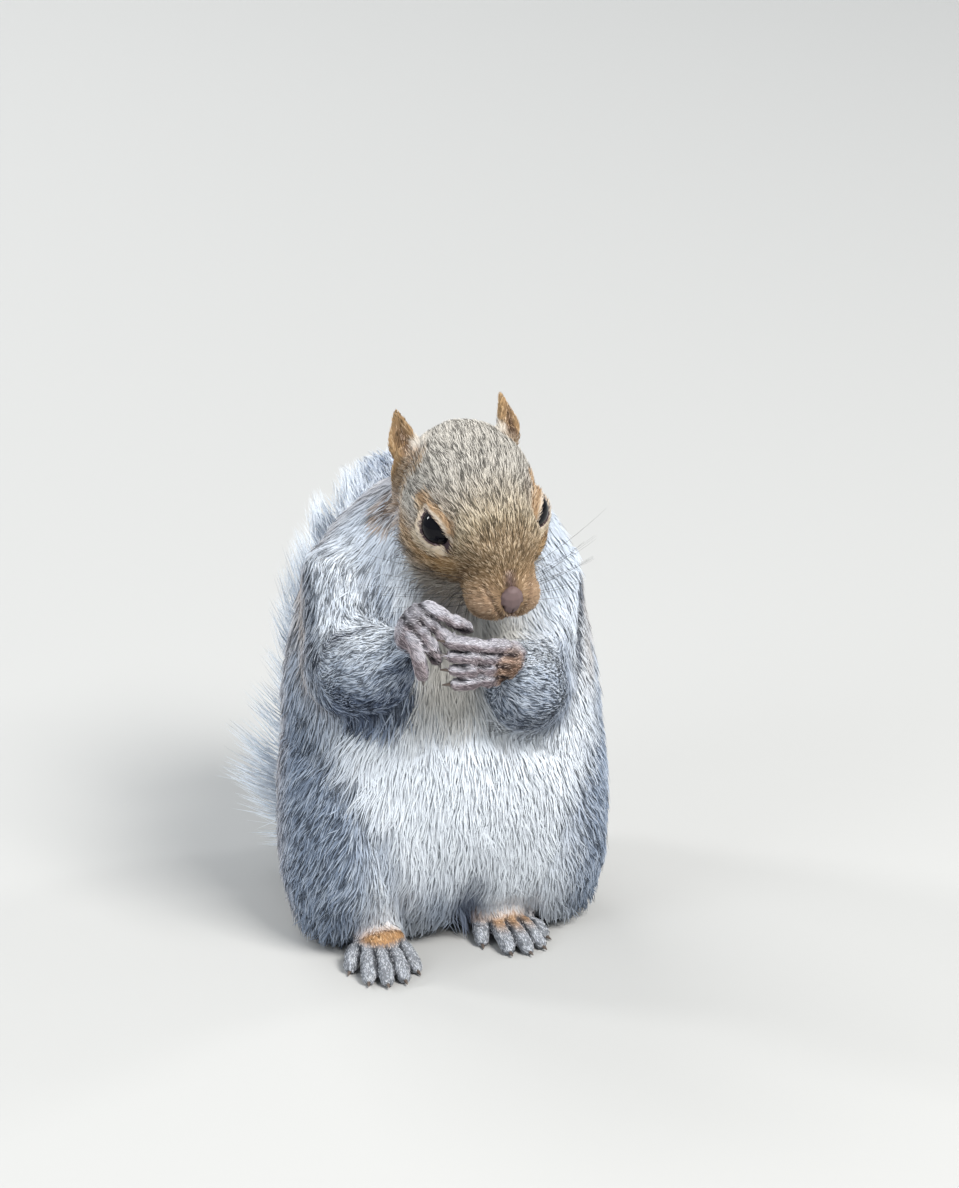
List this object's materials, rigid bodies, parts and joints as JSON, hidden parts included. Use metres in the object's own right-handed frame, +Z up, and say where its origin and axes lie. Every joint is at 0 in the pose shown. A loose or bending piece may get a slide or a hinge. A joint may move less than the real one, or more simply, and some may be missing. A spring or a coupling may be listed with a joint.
{
  "type": "grey squirrel model",
  "caption": "Life-size still model of a grey squirrel sitting upright with its forepaws held to its mouth and its bushy tail up behind its back.",
  "frame": {"origin": "on the floor, under the middle of the animal's box", "axes": "+Z up, -Y the way the body faces, +X towards the animal's left"},
  "size_m": [0.1112, 0.1578, 0.1847],
  "materials": {
    "head_fur": "short agouti fur, grey-brown on the crown and golden brown on the cheeks and muzzle, cream round the eyes",
    "body_fur": "soft fur, steel grey ticked with white on the back, arms and haunches, white on the belly",
    "tail_fur": "long loose hair, tan in the middle, then a grey band and a white fringe",
    "paw_fur": "very short grey-white fur with an orange-brown patch",
    "eye": "wet, near-black gloss",
    "claw": "dark, smooth horn",
    "nose_leather": "bare grey-pink skin, slightly damp"
  },
  "bodies": {
    "root": {"head": "head_fur", "nose": "nose_leather", "neck": "body_fur", "trunk": "body_fur", "eye_left": "eye", "ear_left": "head_fur", "upper_arm_left": "body_fur", "forearm_left": "body_fur", "forepaw_left": "paw_fur", "haunch_left": "body_fur", "hind_foot_left": "paw_fur", "eye_right": "eye", "ear_right": "head_fur", "upper_arm_right": "body_fur", "forearm_right": "body_fur", "forepaw_right": "paw_fur", "haunch_right": "body_fur", "hind_foot_right": "paw_fur", "forepaw_left_claw_1": "claw", "forepaw_left_claw_2": "claw", "forepaw_left_claw_3": "claw", "forepaw_left_claw_4": "claw", "hind_foot_left_claw_1": "claw", "hind_foot_left_claw_2": "claw", "hind_foot_left_claw_3": "claw", "hind_foot_left_claw_4": "claw", "hind_foot_left_claw_5": "claw", "forepaw_right_claw_1": "claw", "forepaw_right_claw_2": "claw", "forepaw_right_claw_3": "claw", "forepaw_right_claw_4": "claw", "hind_foot_right_claw_1": "claw", "hind_foot_right_claw_2": "claw", "hind_foot_right_claw_3": "claw", "hind_foot_right_claw_4": "claw", "hind_foot_right_claw_5": "claw", "tail_base": "tail_fur", "tail_lower": "tail_fur", "tail_upper": "tail_fur", "tail_tip": "tail_fur"}
  },
  "joints": []
}
